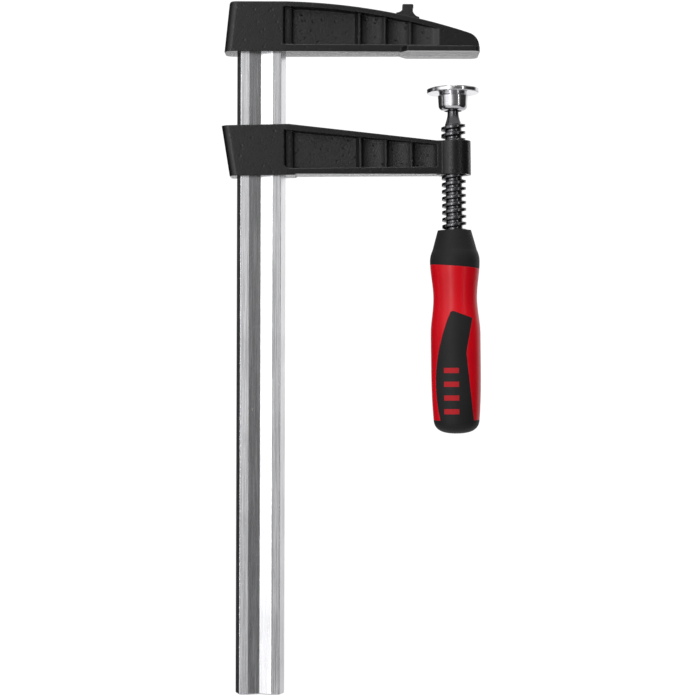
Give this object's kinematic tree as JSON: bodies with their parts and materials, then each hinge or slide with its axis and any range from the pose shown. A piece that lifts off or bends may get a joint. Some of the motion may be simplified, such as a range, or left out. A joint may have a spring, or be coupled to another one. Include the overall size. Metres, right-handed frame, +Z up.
{
  "type": "screw f-clamp",
  "caption": "Cast-jaw screw clamp: a fixed jaw on a profiled rail, a sliding arm, a trapezoidal spindle with a tilting pressure plate and a two-component handle.",
  "frame": {"origin": "middle of the fixed jaw's clamping face, where the spindle axis meets it", "axes": "+X from the rail to the jaw tips, +Y through the clamp, +Z up along the rail"},
  "size_m": [0.149, 0.03, 0.3958],
  "materials": {
    "rail_steel": "bright zinc or nickel plated, drawn, with fine scratches",
    "black_casting": "satin black coat over fine cast skin",
    "black_oxide_steel": "black oxide, rolled thread, glossy",
    "spring_steel": "plain spring wire",
    "bright_plate": "bright plated, turned",
    "red_plastic": "satin-gloss moulded",
    "soft_black": "matt soft-touch"
  },
  "bodies": {
    "frame": {"rail": "rail_steel", "fixed_jaw": "black_casting"},
    "arm": {"sliding_arm": "black_casting"},
    "spindle_end": {"retaining_ring": "spring_steel"},
    "spindle": {"spindle": "black_oxide_steel", "handle_core": "red_plastic", "handle_collar": "soft_black", "handle_grip": "soft_black"},
    "plate": {"pressure_plate": "bright_plate"}
  },
  "joints": [
    {"name": "arm_slide", "type": "slide", "parent": "frame", "child": "arm", "axis": [0, 0, 1], "range_m": [-0.292, 0]},
    {"name": "spindle_travel", "type": "slide", "parent": "arm", "child": "spindle_end", "axis": [-0.0154, 0, 0.9999], "range_m": [-0.016, 0.0165]},
    {"name": "spindle_turn", "type": "hinge", "parent": "spindle_end", "child": "spindle", "pos_m": [0.00043, 0, -0.02755], "axis": [-0.0154, 0, 0.9999], "range_deg": [-1430, 1480]},
    {"name": "plate_tilt", "type": "hinge", "parent": "spindle_end", "child": "plate", "pos_m": [0.00043, 0, -0.02755], "axis": [0, 1, 0], "range_deg": [-8, 8]}
  ],
  "couplings": [
    {"joint": "spindle_travel", "follows": "spindle_turn", "m_per_rad": 0.00063662}
  ]
}
